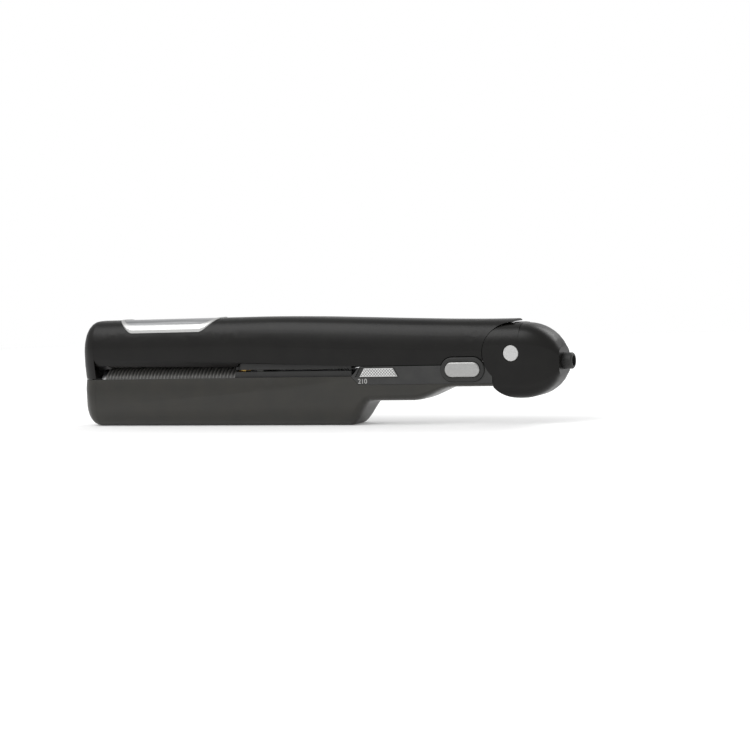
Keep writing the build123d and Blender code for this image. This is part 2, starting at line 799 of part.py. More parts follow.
def make_drive(arm, axis_z, side, first_is_crest):
    """Barrel, bushes, core, gears, gearmotor and mount; side is -1 below, 1 above."""
    pinion_z = axis_z + side * gear_distance
    make_barrel(f"{arm}_barrel", axis_z, first_is_crest)
    front_steps = [
        (collar_x, -barrel_end_x, collar_r, bush_bore_r),
        (-barrel_end_x, -barrel_end_x + bush_length, barrel_bore_r, bush_bore_r),
    ]
    make_ring(f"{arm}_front_bush", axis_z, front_steps)
    rear_steps = [(barrel_end_x - bush_length, barrel_end_x, barrel_bore_r, bush_bore_r)]
    make_ring(f"{arm}_rear_bush", axis_z, rear_steps)
    turn = 180 / ring_teeth
    bore_r = core_r + ring_bore_gap
    ring_label = f"{arm}_ring_gear"
    make_gear(ring_label, barrel_end_x, axis_z, ring_teeth, ring_addendum, turn, bore_r, 0)
    core_steps = [
        (plug_x - journal_length, core_start_x, journal_r, 0),
        (core_start_x, core_end_x, core_r, 0),
        (-heater_length / 2, heater_length / 2, heater_r, 0),
    ]
    make_ring(f"{arm}_heater_core", axis_z, core_steps)
    make_gear(f"{arm}_pinion", pinion_start_x, pinion_z, pinion_teeth, 1.0, 0, 0, shaft_end_x)

    with BuildPart() as mount:
        with BuildSketch(Plane.YZ.offset(mount_x)):
            seat_z = floor_z if side < 0 else top_z - wall - running_gap
            near_z = axis_z - side * (core_r + pinion_gap)
            with BuildLine():
                Polyline(
                    (-mount_half, near_z),
                    (mount_half, near_z),
                    (mount_half, pinion_z),
                    (top_half, seat_z),
                    (-top_half, seat_z),
                    (-mount_half, pinion_z),
                    close=True,
                )
            make_face()
            with Locations((0, axis_z)):
                Circle(core_r + running_gap, mode=Mode.SUBTRACT)
            with Locations((0, pinion_z)):
                Circle(shaft_r + end_gap, mode=Mode.SUBTRACT)
        extrude(amount=mount_thickness)
    mount.part.label = f"{arm}_motor_mount"
    export_step(mount.part, f"parts/{arm}_motor_mount.step")

    with BuildPart() as motor:
        with BuildSketch(Plane.YZ.offset(motor_x)):
            with Locations((0, pinion_z)):
                RectangleRounded(2 * motor_r, 2 * motor_flat, 1)
        extrude(amount=gearbox_length)
        with BuildSketch(Plane.YZ.offset(motor_x + gearbox_length)):
            with Locations((0, pinion_z)):
                Circle(motor_r)
                Rectangle(2 * motor_r, 2 * motor_flat, mode=Mode.INTERSECT)
        extrude(amount=motor_length)
        with BuildSketch(Plane.YZ.offset(motor_x + gearbox_length + motor_length)):
            with Locations((0, pinion_z)):
                Circle(motor_boss_r)
        extrude(amount=motor_boss_length)
        with BuildSketch(Plane.YZ.offset(motor_x)):
            with Locations((0, pinion_z)):
                Circle(shaft_r + running_gap)
        extrude(amount=shaft_end_x - motor_x + end_gap, mode=Mode.SUBTRACT)
    motor.part.label = f"{arm}_gearmotor"
    export_step(motor.part, f"parts/{arm}_gearmotor.step")


make_drive("lower", barrel_axis_z, -1, False)
make_drive("upper", upper_axis_z, 1, True)

# ---- Side panel with the slide switch, and the button in its ring ----


def trapezoid(x, z, base, height, grow):
    """Corners of the switch's outline: upright left and right sides lean in by side_slope."""
    lean = side_slope * height
    return [
        (x - grow, z - grow),
        (x + lean - grow / 2, z + height + grow),
        (x + base - lean + grow / 2, z + height + grow),
        (x + base + grow, z - grow),
    ]


def side_plane(y):
    """Plane at this y, drawn in X and Z, whose extrusions run outwards, towards -Y."""
    return Plane.XZ.offset(-y)


slot_corners = trapezoid(slot_start_x, slot_bottom_z, slot_base, slot_height, 0)
tray_corners = trapezoid(slot_start_x, slot_bottom_z, slot_base, slot_height, -tray_gap)
panel_back_y = wall_face_y + panel_thickness

with BuildPart() as side_panel:
    with BuildSketch(side_plane(panel_back_y)):
        with BuildLine():
            Polyline(
                (panel_start_x + seat_gap, rim_z),
                (panel_start_x + ramp + seat_gap / 2, handle_top_z),
                (casing_end_x - thumb_clearance, handle_top_z),
                (casing_end_x - thumb_clearance, panel_bottom_z + seat_gap),
                (panel_start_x + rim_z - panel_bottom_z + seat_gap / 2, panel_bottom_z + seat_gap),
                close=True,
            )
        make_face()
        with Locations((button_x, button_z)):
            SlotOverall(
                button_length + 2 * bezel_width + 2 * seat_gap,
                button_height + 2 * bezel_width + 2 * seat_gap,
                mode=Mode.SUBTRACT,
            )
        with BuildLine():
            Polyline(*slot_corners, close=True)
        make_face(mode=Mode.SUBTRACT)
        with Locations((pin_x, pin_z)):
            Circle(drum_r + seat_gap, mode=Mode.SUBTRACT)
    extrude(amount=panel_thickness)
side_panel.part.label = "side_panel"
export_step(side_panel.part, "parts/side_panel.step")

thumb_base = slot_base - 2 * thumb_clearance - thumb_travel
thumb_x = slot_start_x + thumb_clearance + thumb_travel
thumb_z = slot_bottom_z + thumb_clearance
thumb_height = slot_height - 2 * thumb_clearance
stem_x = thumb_x + thumb_base / 2
stem_z = thumb_z + thumb_height / 2
slit_length = stem_length + thumb_travel + 2 * thumb_clearance
slit_x = stem_x - thumb_travel / 2

with BuildPart() as switch_bezel:
    with BuildSketch(side_plane(panel_back_y)):
        with BuildLine():
            Polyline(*tray_corners, close=True)
        make_face()
        with Locations((slit_x, stem_z)):
            Rectangle(slit_length, slit_height, mode=Mode.SUBTRACT)
    extrude(amount=tray_thickness)
switch_bezel.part.label = "switch_bezel"
export_step(switch_bezel.part, "parts/switch_bezel.step")

tray_y = panel_back_y - tray_thickness
switch_front_y = inner_y + thumb_clearance
with BuildPart() as slide_switch:
    with BuildSketch(side_plane(tray_y - seat_gap)):
        with BuildLine():
            Polyline(*trapezoid(thumb_x, thumb_z, thumb_base, thumb_height, 0), close=True)
        make_face()
    extrude(amount=thumb_rise + panel_thickness - tray_thickness)
    chamfer(slide_switch.faces().sort_by(Axis.Y)[0].edges(), thumb_edge)
    with BuildSketch(side_plane(tray_y - seat_gap)):
        with Locations((stem_x, stem_z)):
            Rectangle(stem_length, stem_height)
    extrude(amount=-(switch_front_y + switch_grip - tray_y + seat_gap))
slide_switch.part.label = "slide_switch"
export_step(slide_switch.part, "parts/slide_switch.step")

with BuildPart() as switch_body:
    with BuildSketch(side_plane(board_y - board_thickness)):
        with Locations((slit_x, stem_z)):
            Rectangle(switch_body_length, switch_body_height)
    extrude(amount=-(switch_front_y - board_y + board_thickness))
    with BuildSketch(side_plane(switch_front_y + switch_grip + thumb_clearance)):
        with Locations((slit_x, stem_z)):
            Rectangle(slit_length, slit_height)
    extrude(amount=3, mode=Mode.SUBTRACT)
switch_body.part.label = "switch_body"
export_step(switch_body.part, "parts/switch_body.step")

with BuildPart() as control_board:
    with BuildSketch(side_plane(board_y)):
        with Locations(((board_start_x + board_end_x) / 2, board_z)):
            RectangleRounded(board_end_x - board_start_x, board_height, 1)
        with Locations(*[(x, board_z) for x in board_post_xs]):
            Circle(screw_r, mode=Mode.SUBTRACT)
    extrude(amount=board_thickness)
control_board.part.label = "control_board"
export_step(control_board.part, "parts/control_board.step")

board_places = [(x, board_y, board_z) for x in board_post_xs]
board_screw_length = board_thickness + board_screw_grip
make_screws("board_screws", board_places, (0, -1, 0), board_screw_length)

with BuildPart() as button_bezel:
    with BuildSketch(side_plane(wall_face_y)):
        with Locations((button_x, button_z)):
            SlotOverall(button_length + 2 * bezel_width, button_height + 2 * bezel_width)
            SlotOverall(
                button_length + 2 * button_gap, button_height + 2 * button_gap, mode=Mode.SUBTRACT
            )
    extrude(amount=bezel_rise)
    chamfer(button_bezel.faces().sort_by(Axis.Y)[0].outer_wire().edges(), bezel_edge)
button_bezel.part.label = "button_bezel"
export_step(button_bezel.part, "parts/button_bezel.step")

flange_y = inner_y + draft + seat_gap
plunger_tip_y = flange_y + button_flange_thickness + button_travel + running_gap
switch_height = board_y - board_thickness - tact_plunger - plunger_tip_y
with BuildPart() as tact_switch:
    with BuildSketch(side_plane(board_y - board_thickness)):
        with Locations((button_x, button_z)):
            Rectangle(tact_side, tact_side)
    extrude(amount=switch_height)
    with BuildSketch(side_plane(board_y - board_thickness - switch_height)):
        with Locations((button_x, button_z)):
            Circle(tact_plunger_r)
    extrude(amount=tact_plunger)
tact_switch.part.label = "tact_switch"
export_step(tact_switch.part, "parts/tact_switch.step")

button_face_y = wall_face_y - bezel_rise - button_rise
with BuildPart() as rotation_button:
    with BuildSketch(side_plane(flange_y)):
        with Locations((button_x, button_z)):
            SlotOverall(button_length, button_height)
    extrude(amount=flange_y - button_face_y)
    chamfer(rotation_button.faces().sort_by(Axis.Y)[0].edges(), button_edge)
    with BuildSketch(side_plane(flange_y)):
        with Locations((button_x, button_z)):
            SlotOverall(button_length + 2 * button_flange, button_height + button_flange)
    extrude(amount=-button_flange_thickness)
rotation_button.part.label = "rotation_button"
export_step(rotation_button.part, "parts/rotation_button.step")

# ---- Hinge, rear housing, spring and cord outlet ----

housing_start_x = pin_x - 2 * drum_r
tail_start_x = pin_x + cap_r
tail_top_z = pin_z + sqrt(drum_r**2 - cap_r**2)
tail_stations = steps(tail_start_x, tail_x, 9) + [tail_x]


def housing_section(x, full, top, inset):
    """Closed end view of the rear housing at x: full is 1 at the drum, less towards the cord."""
    half = arm_half * (tail_flatness + (1 - tail_flatness) * full) - inset
    lean = half - side_lean
    flat = top_half * full
    foot = foot_half * full - inset
    above = gland_z + (top - gland_z) * full - inset
    high = gland_z + (pin_z + cap_r - gland_z) * full
    low = gland_z - (gland_z - tail_low_z - drum_r / 2) * full
    bottom = gland_z - (gland_z - tail_low_z) * full + inset
    with BuildSketch(Plane.YZ.offset(x), mode=Mode.PRIVATE) as outline:
        with BuildLine():
            Bezier((half, high), (lean, above), (flat, above))
            Line((flat, above), (-flat, above))
            Bezier((-flat, above), (-lean, above), (-half, high))
            Line((-half, high), (-half, low))
            Bezier((-half, low), (-half, bottom), (-foot, bottom))
            Line((-foot, bottom), (foot, bottom))
            Bezier((foot, bottom), (half, bottom), (half, low))
            Line((half, low), (half, high))
        make_face()
    return outline.sketch


def tail_full(x):
    """How full the tail still is at x, from 1 where it leaves the drum."""
    share = (x - tail_start_x) / (tail_x - tail_start_x)
    return sqrt(1 - (tail_bluntness * share) ** 2)


# space inside the drum, kept clear of the round top, and a well for the gland
with BuildPart() as housing_space:
    with BuildSketch(Plane.XZ):
        with Locations((pin_x, pin_z)):
            Circle(drum_inner_r)
    extrude(amount=arm_half - drum_wall, both=True)
    inner_section = housing_section(housing_start_x, 1, pin_z + drum_r, drum_wall)
    extrude(inner_section, amount=tail_x - housing_start_x, mode=Mode.INTERSECT)
    well_half = gland_flange_r + drum_wall / 2
    with BuildSketch(Plane.XZ):
        with Locations(((pin_x + tail_x - tail_wall) / 2, gland_z)):
            Rectangle(tail_x - tail_wall - pin_x, 2 * well_half)
    extrude(amount=well_half, both=True)

with BuildPart() as rear_housing:
    # side view: a drum round the pin, and a foot that flares down from the handle
    with BuildSketch(Plane.XZ):
        with BuildLine():
            foot_start = (casing_end_x + seat_gap, lower_bottom(casing_end_x))
            foot_end = (tail_start_x, tail_low_z)
            Spline(foot_start, foot_end, tangents=((1, -1.2), (1, 0)))
            Polyline(foot_end, (tail_start_x, pin_z), (foot_start[0], pin_z), foot_start)
        make_face()
        with Locations((pin_x, pin_z)):
            Circle(drum_r)
        with Locations((tail_start_x + drum_r, pin_z)):
            Rectangle(2 * drum_r, 4 * drum_r, mode=Mode.SUBTRACT)
    extrude(amount=arm_half, both=True)
    # end view: the top and the foot are round, like the arms that run into it
    drum_section = housing_section(housing_start_x, 1, pin_z + drum_r, 0)
    extrude(drum_section, amount=tail_x - housing_start_x, mode=Mode.INTERSECT)
    # the tail rounds off towards the cord
    tail_sections = [housing_section(x, tail_full(x), tail_top_z, 0) for x in tail_stations]
    loft(tail_sections, ruled=True)
    add(housing_space.part, mode=Mode.SUBTRACT)
    # slot for the hinge bracket, open at the top
    with BuildSketch(Plane.XZ):
        with Locations((pin_x - drum_r / 2, bracket_z + bracket_depth / 2)):
            Rectangle(drum_r + eye_r, 2 * (bracket_height + eye_r))
    extrude(amount=bracket_half + slot_clearance, both=True, mode=Mode.SUBTRACT)
    # tongue that enters the lower casing
    with BuildSketch(Plane.XY.offset(tongue_z)):
        with Locations(((tongue_start_x + casing_end_x + drum_wall + clear) / 2, 0)):
            Rectangle(casing_end_x + drum_wall + clear - tongue_start_x, 2 * tongue_half)
    extrude(amount=tongue_thickness)
    with BuildSketch(Plane.XY.offset(tongue_z)):
        with Locations(*tongue_screws):
            Circle(screw_r)
    extrude(amount=tongue_thickness, mode=Mode.SUBTRACT)
    # pin bores with seats for the caps, and the cord bore
    with BuildSketch(Plane.XZ):
        with Locations((pin_x, pin_z)):
            Circle(pin_r + running_gap)
    extrude(amount=arm_half + 1, both=True, mode=Mode.SUBTRACT)
    for seat_y in (arm_half - cap_seat, -arm_half - cap_seat):
        with BuildSketch(Plane.XZ.offset(seat_y)):
            with Locations((pin_x, pin_z)):
                Circle(cap_r + seat_gap)
        extrude(amount=2 * cap_seat, mode=Mode.SUBTRACT)
    with BuildSketch(Plane.YZ.offset(tail_x - tail_wall - 1)):
        with Locations((0, gland_z)):
            Circle(gland_r + running_gap)
    extrude(amount=tail_wall + 2, mode=Mode.SUBTRACT)
rear_housing.part.label = "rear_housing"
export_step(rear_housing.part, "parts/rear_housing.step")

cap_seat_y = arm_half - cap_seat
with BuildPart() as hinge_pin:
    with BuildSketch(Plane.XZ):
        with Locations((pin_x, pin_z)):
            Circle(pin_r)
    extrude(amount=cap_seat_y, both=True)
hinge_pin.part.label = "hinge_pin"
export_step(hinge_pin.part, "parts/hinge_pin.step")

with BuildPart() as hinge_caps:
    for side in (1, -1):
        with BuildSketch(Plane.XZ.offset(side * cap_seat_y)):
            with Locations((pin_x, pin_z)):
                Circle(cap_r)
        extrude(amount=side * cap_thickness)
    outer_edges = hinge_caps.edges().filter_by(GeomType.CIRCLE).sort_by(Axis.Y)
    chamfer([outer_edges[0], outer_edges[-1]], cap_edge)
hinge_caps.part.label = "hinge_caps"
export_step(hinge_caps.part, "parts/hinge_caps.step")

with BuildPart() as hinge_bracket:
    with BuildSketch(Plane.XZ):
        with BuildLine():
            Polyline(
                (bracket_start_x, bracket_z),
                (pin_x - bracket_bend, bracket_z),
                (pin_x - 0.75 * eye_r, pin_z - 0.6 * eye_r),
                (pin_x, pin_z),
                (pin_x, pin_z + eye_r),
                (pin_x - bracket_bend + eye_r / 2, bracket_z + bracket_height),
                (bracket_start_x, bracket_z + bracket_height),
                close=True,
            )
        make_face()
        with Locations((pin_x, pin_z)):
            Circle(eye_r)
            Circle(pin_r + running_gap, mode=Mode.SUBTRACT)
    extrude(amount=bracket_half, both=True)
    # folded-up sides along a flat web
    with BuildSketch(Plane.XZ):
        with BuildLine():
            web_end_x = pin_x - bracket_bend + clear
            web_z = bracket_z + bracket_web
            open_z = bracket_z + bracket_height + clear
            far_x = bracket_start_x - clear
            web_corners = [(far_x, web_z), (web_end_x, web_z), (web_end_x, open_z), (far_x, open_z)]
            Polyline(*web_corners, close=True)
        make_face()
    extrude(amount=bracket_half - bracket_wall, both=True, mode=Mode.SUBTRACT)
    with BuildSketch(Plane.XY.offset(bracket_z)):
        with Locations(*[(x, 0) for x in bracket_screw_xs]):
            Circle(screw_r)
    extrude(amount=bracket_web, mode=Mode.SUBTRACT)
hinge_bracket.part.label = "hinge_bracket"
export_step(hinge_bracket.part, "parts/hinge_bracket.step")
bracket_places = [(x, 0, bracket_z) for x in bracket_screw_xs]
make_screws("bracket_screws", bracket_places, (0, 0, 1), bracket_screw_length)

handle_places = [(x, y, lower_bottom(screw_x) + head_height) for x, y in tongue_screws]
make_screws("handle_screws", handle_places, (0, 0, 1), handle_screw_length)

spring_low_z = tongue_z + tongue_thickness
spring_r = (bracket_z - spring_low_z) / 2
spring_x = tongue_start_x - spring_setback
with BuildPart() as opening_spring:
    with BuildSketch(Plane.XZ):
        for inset, mode in ((0, Mode.ADD), (spring_thickness, Mode.SUBTRACT)):
            with Locations((spring_x, spring_low_z + spring_r)):
                Circle(spring_r - inset, mode=mode)
            with Locations((spring_x + spring_flat / 2 + inset, spring_low_z + spring_r)):
                Rectangle(spring_flat + 2 * inset, 2 * (spring_r - inset), mode=mode)
    extrude(amount=spring_width / 2, both=True)
opening_spring.part.label = "opening_spring"
export_step(opening_spring.part, "parts/opening_spring.step")

with BuildPart() as swivel_gland:
    flange_end_x = tail_x - tail_wall - seat_gap
    for start, end, r in (
        (flange_end_x - gland_flange, flange_end_x, gland_flange_r),
        (flange_end_x, end_x, gland_r),
    ):
        with BuildSketch(Plane.YZ.offset(start)):
            with Locations((0, gland_z)):
                Circle(r)
        extrude(amount=end - start)
    chamfer(swivel_gland.faces().sort_by(Axis.X)[-1].edges(), gland_edge)
    with BuildSketch(Plane.YZ.offset(flange_end_x - gland_flange)):
        with Locations((0, gland_z)):
            Circle(gland_bore_r)
    extrude(amount=end_x - flange_end_x + gland_flange, mode=Mode.SUBTRACT)
swivel_gland.part.label = "swivel_gland"
export_step(swivel_gland.part, "parts/swivel_gland.step")

# ---- Window on the top of the upper arm: a stadium frame round a flush insert ----


def window_piece(label, length, width, hole_length, hole_width, proud):
    """Stadium in plan, between the pocket's floor and the arm's top raised by proud."""
    with BuildPart() as piece:
        outer = upper_section(-window_length, -proud, upper_base_z, lip_half)
        extrude(outer, amount=2 * window_length)
        with BuildSketch(Plane.XY.offset(shoulder_z + clear + wall / 2)):
            SlotOverall(length, width)
            if hole_length > 0:
                SlotOverall(hole_length, hole_width, mode=Mode.SUBTRACT)
        extrude(amount=top_z - shoulder_z, mode=Mode.INTERSECT)
        inner = upper_section(-window_length, window_depth, upper_base_z, lip_half)
        extrude(inner, amount=2 * window_length, mode=Mode.SUBTRACT)
    piece.part.label = label
    export_step(piece.part, f"parts/{label}.step")


inside_length = window_length - 2 * window_frame
inside_width = window_width - 2 * window_frame
window_piece(
    "window_trim", window_length, window_width, inside_length, inside_width, window_proud
)
gap = 2 * seat_gap
window_piece("window_panel", inside_length - gap, inside_width - gap, 0, 0, 0)
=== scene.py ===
# %% [markdown]
# This lesson dresses a hair crimper with two rotating, rippled barrels for a studio picture. The
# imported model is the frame: every piece is in metres, in one shared set of axes, with +X towards
# the cord end, +Z up, and -Y on the side with the switch and the button. It could be posed by
# hand, but the frame already knows which body each piece rides on. So we load it and keep its box.

# %% Load the frame
import json
from math import cos, pi, radians, sin

import bpy
from mathutils import Matrix, Vector


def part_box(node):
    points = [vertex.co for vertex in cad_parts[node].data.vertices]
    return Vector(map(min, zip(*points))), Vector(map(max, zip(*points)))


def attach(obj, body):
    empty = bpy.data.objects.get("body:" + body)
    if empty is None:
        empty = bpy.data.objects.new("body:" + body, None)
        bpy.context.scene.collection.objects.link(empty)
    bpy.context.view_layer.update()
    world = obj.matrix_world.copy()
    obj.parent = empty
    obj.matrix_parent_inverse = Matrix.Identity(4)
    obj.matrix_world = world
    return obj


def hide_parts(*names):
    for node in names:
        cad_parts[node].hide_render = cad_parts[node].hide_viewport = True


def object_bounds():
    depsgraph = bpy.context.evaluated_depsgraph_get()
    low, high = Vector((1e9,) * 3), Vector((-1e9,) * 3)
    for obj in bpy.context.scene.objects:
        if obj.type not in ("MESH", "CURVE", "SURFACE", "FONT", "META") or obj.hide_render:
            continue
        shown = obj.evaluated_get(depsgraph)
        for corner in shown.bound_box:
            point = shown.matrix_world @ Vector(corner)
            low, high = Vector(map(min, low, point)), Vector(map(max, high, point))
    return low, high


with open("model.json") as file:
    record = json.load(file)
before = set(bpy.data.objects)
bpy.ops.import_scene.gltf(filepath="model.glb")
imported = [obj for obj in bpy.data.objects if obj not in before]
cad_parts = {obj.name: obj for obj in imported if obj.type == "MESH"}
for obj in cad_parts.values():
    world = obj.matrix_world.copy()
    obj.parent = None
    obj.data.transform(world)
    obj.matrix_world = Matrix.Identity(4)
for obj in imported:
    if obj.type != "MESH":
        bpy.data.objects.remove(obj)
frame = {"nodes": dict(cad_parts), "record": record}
cad_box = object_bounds()

MM = 0.001
record = frame["record"]
slot_of = {part["node"]: part["material_slot"] for part in record["subparts"]}
print("nodes:", len(frame["nodes"]), "box:", [round(v, 4) for v in (*cad_box[0], *cad_box[1])])

# %% [markdown]
# A product picture starts with the place of the camera. A long lens from about 1.3 m away
# keeps this long tool from looking bent. The camera looks slightly down and is rolled a
# little, so that the tool climbs gently to the right. An aim constraint could point it, but it
# can't roll it, so we build its three axes from the angles: forward first, then right and up.

# %% Camera
CAMERA_PLACE = Vector((0.6718, -1.1706, 0.1179))
AZIMUTH = radians(24.3)
ELEVATION = radians(3.88)
ROLL = radians(2.51)
LENS_MM = 97.9

forward = Vector((-sin(AZIMUTH) * cos(ELEVATION), cos(AZIMUTH) * cos(ELEVATION), -sin(ELEVATION)))
level_right = forward.cross(Vector((0, 0, 1))).normalized()
level_up = level_right.cross(forward)
right = level_right * cos(ROLL) - level_up * sin(ROLL)
up = level_up * cos(ROLL) + level_right * sin(ROLL)
camera_data = bpy.data.cameras.new("camera")
camera_data.lens = LENS_MM
camera = bpy.data.objects.new("camera", camera_data)
bpy.context.scene.collection.objects.link(camera)
axes = Matrix((right, up, -forward)).transposed().to_4x4()
camera.matrix_world = Matrix.Translation(CAMERA_PLACE) @ axes
bpy.context.scene.camera = camera
print("camera:", [round(v, 3) for v in CAMERA_PLACE], "lens:", LENS_MM, "mm")

# %% [markdown]
# Colours are written here as web hex values, which are meant for a screen. Cycles counts in
# linear light. The colour picker would convert them for us by hand. In a script, one function
# turns each pair of hex digits into its linear share.


# %% Colours
def linear(hex_colour):
    """An sRGB hex colour as linear red, green, blue and alpha."""
    shares = [int(hex_colour[i : i + 2], 16) / 255 for i in (1, 3, 5)]
    curved = [s / 12.92 if s <= 0.04045 else ((s + 0.055) / 1.055) ** 2.4 for s in shares]
    return (*curved, 1.0)


print("mid grey in linear light:", [round(v, 3) for v in linear("#808080")])

# %% [markdown]
# A finish is a small graph of nodes. It could be drawn in the shader editor. In a script, one
# helper adds a node, and each of its inputs gets either a plain value or a link from another
# node. Every pattern reads Object coordinates, and every finished piece stands at the origin, so
# a pattern's scale is one over its real size in metres.


# %% Nodes
def add_node(tree, kind, inputs=None, **properties):
    """Add a node: properties are set on it, and each input gets a value or a link."""
    node = tree.nodes.new(kind)
    for name, value in properties.items():
        setattr(node, name, value)
    for name, value in (inputs or {}).items():
        if isinstance(value, bpy.types.NodeSocket):
            tree.links.new(value, node.inputs[name])
        else:
            node.inputs[name].default_value = value
    return node


def start_material(name):
    """A material with an empty graph: gives the material and its graph."""
    material = bpy.data.materials.new(name)
    material.use_nodes = True
    tree = material.node_tree
    tree.nodes.clear()
    return material, tree


def close_material(tree, inputs):
    """Add the shader with its inputs, and join it to the output."""
    shader = add_node(tree, "ShaderNodeBsdfPrincipled", inputs)
    add_node(tree, "ShaderNodeOutputMaterial", {"Surface": shader.outputs["BSDF"]})


# a Mix node has several sockets of one name, so the colour ones are picked by their number
MIX_SHARE = 0
MIX_FIRST = 6
MIX_SECOND = 7
MIX_RESULT = 2
print("mix sockets:", MIX_SHARE, MIX_FIRST, MIX_SECOND, "to", MIX_RESULT)

# %% [markdown]
# The shells are ABS, injection-moulded in a warm near-black. ABS has an IOR of 1.5. A mould
# leaves a slow waviness, about a centimetre long, that bends the highlights a little, and a fine
# grain that makes the gloss uneven. Two noise patterns give these two sizes. A flat colour with
# one roughness would look like paint on glass.

# %% Moulded plastic
PLASTIC_IOR = 1.5
# noise seldom leaves this range, so a mix of two colours is spread over it
NOISE_LOW = 0.35
NOISE_HIGH = 0.65
# the grain takes the roughness this far below and above the gloss that is asked for
SMOOTHER = 0.05
ROUGHER = 0.07


def moulded_plastic(name, dark, light, gloss, wave, grain, shine=0.5):
    """Moulded plastic: its slow wave and its fine grain are each a size and a height in mm."""
    wave_mm, wave_high = wave
    grain_mm, grain_high = grain
    material, tree = start_material(name)
    place = add_node(tree, "ShaderNodeTexCoord").outputs["Object"]
    slow_inputs = {"Vector": place, "Scale": 1 / (wave_mm * MM), "Detail": 2.0}
    slow = add_node(tree, "ShaderNodeTexNoise", slow_inputs).outputs["Fac"]
    fine_inputs = {"Vector": place, "Scale": 1 / (grain_mm * MM), "Detail": 3.0}
    fine = add_node(tree, "ShaderNodeTexNoise", fine_inputs).outputs["Fac"]
    waves = add_node(tree, "ShaderNodeBump", {"Height": slow, "Distance": wave_high * MM})
    relief_inputs = {"Height": fine, "Distance": grain_high * MM, "Normal": waves.outputs[0]}
    relief = add_node(tree, "ShaderNodeBump", relief_inputs)
    cloud_inputs = {"Value": slow, "From Min": NOISE_LOW, "From Max": NOISE_HIGH}
    cloud = add_node(tree, "ShaderNodeMapRange", cloud_inputs)
    tones = {MIX_SHARE: cloud.outputs[0], MIX_FIRST: linear(dark), MIX_SECOND: linear(light)}
    colour = add_node(tree, "ShaderNodeMix", tones, data_type="RGBA")
    gloss_inputs = {"Value": fine, "To Min": gloss - SMOOTHER, "To Max": gloss + ROUGHER}
    roughness = add_node(tree, "ShaderNodeMapRange", gloss_inputs)
    close_material(
        tree,
        {
            "IOR": PLASTIC_IOR,
            "Specular IOR Level": shine,
            "Base Color": colour.outputs[MIX_RESULT],
            "Roughness": roughness.outputs[0],
            "Normal": relief.outputs[0],
        },
    )
    return material


# polished ABS of the lower arm: a warm black with soft highlights
polished_abs = moulded_plastic(
    "polished_abs", "#1b1a15", "#201e18", gloss=0.3, wave=(14, 0.02), grain=(0.9, 0.002)
)
# the upper arm and the rear housing are the same ABS painted darker as shade, with a thin satin
# texture: less mirror
shaded_abs = moulded_plastic(
    "painted_shade_satin_abs",
    "#060504",
    "#0b0a08",
    gloss=0.34,
    wave=(14, 0.02),
    grain=(0.9, 0.002),
    shine=0.25,
)
# unpolished ABS of the inner plates, the motor mounts, the bezels and the gland: flat and dark
matt_abs = moulded_plastic(
    "matt_abs", "#121211", "#181817", gloss=0.52, wave=(10, 0.01), grain=(0.5, 0.006)
)
# the side panel's mould is spark-eroded: a fine even texture that looks a shade greyer
eroded_abs = moulded_plastic(
    "spark_eroded_abs", "#202020", "#272726", gloss=0.46, wave=(8, 0.01), grain=(0.45, 0.01)
)
print("plastics:", polished_abs.name, shaded_abs.name, matt_abs.name, eroded_abs.name)

# %% [markdown]
# A few small parts are other polymers. The two switches have bodies of nylon filled with short
# glass fibres, which gives a dry, grainy black. The bumper is silicone rubber, with hardly any
# gloss. The printed number is ink. All three have a fine grain on a slow wave too, so the same
# function serves, with other sizes.

# %% Nylon, rubber and ink
# glass fibres near the surface scatter the light, so this black is dry, with no clear highlight
filled_nylon = moulded_plastic(
    "glass_filled_nylon", "#161616", "#1e1e1e", gloss=0.6, wave=(6, 0.01), grain=(0.4, 0.01)
)
# moulded silicone has a dusty mid grey skin that hardly shines
silicone = moulded_plastic(
    "moulded_silicone_rubber",
    "#565654",
    "#61615f",
    gloss=0.7,
    wave=(3, 0.02),
    grain=(0.3, 0.01),
    shine=0.3,
)
# pad-printed ink is a flat pale grey, easy to read on the dark panel
pale_ink = moulded_plastic(
    "pad_printed_ink", "#a9a9a7", "#b4b4b2", gloss=0.55, wave=(3, 0.001), grain=(0.2, 0.001)
)
print("polymers:", filled_nylon.name, silicone.name, pale_ink.name)

# %% [markdown]
# Metals differ by how they were worked. Bead-blasted aluminium has an even, cloudy satin. Metal
# drawn through a belt of abrasive has streaks along its length. Turned metal has rings round its
# axis. One noise pattern gives all three: left even, drawn out along X, or drawn out across X.
# Its grain is mostly a few tenths of a millimetre wide. An image of brushed metal could do it
# too, but it would show seams.

# %% Worked metal
CLOUD_MM = 12
# the clouds take the roughness this far below and above the gloss that is asked for
METAL_SPREAD = 0.05
# how much longer the grain is along X, Y and Z
EVEN = (1, 1, 1)
ALONG_X = (160, 1, 1)
ROUND_X = (1, 60, 60)


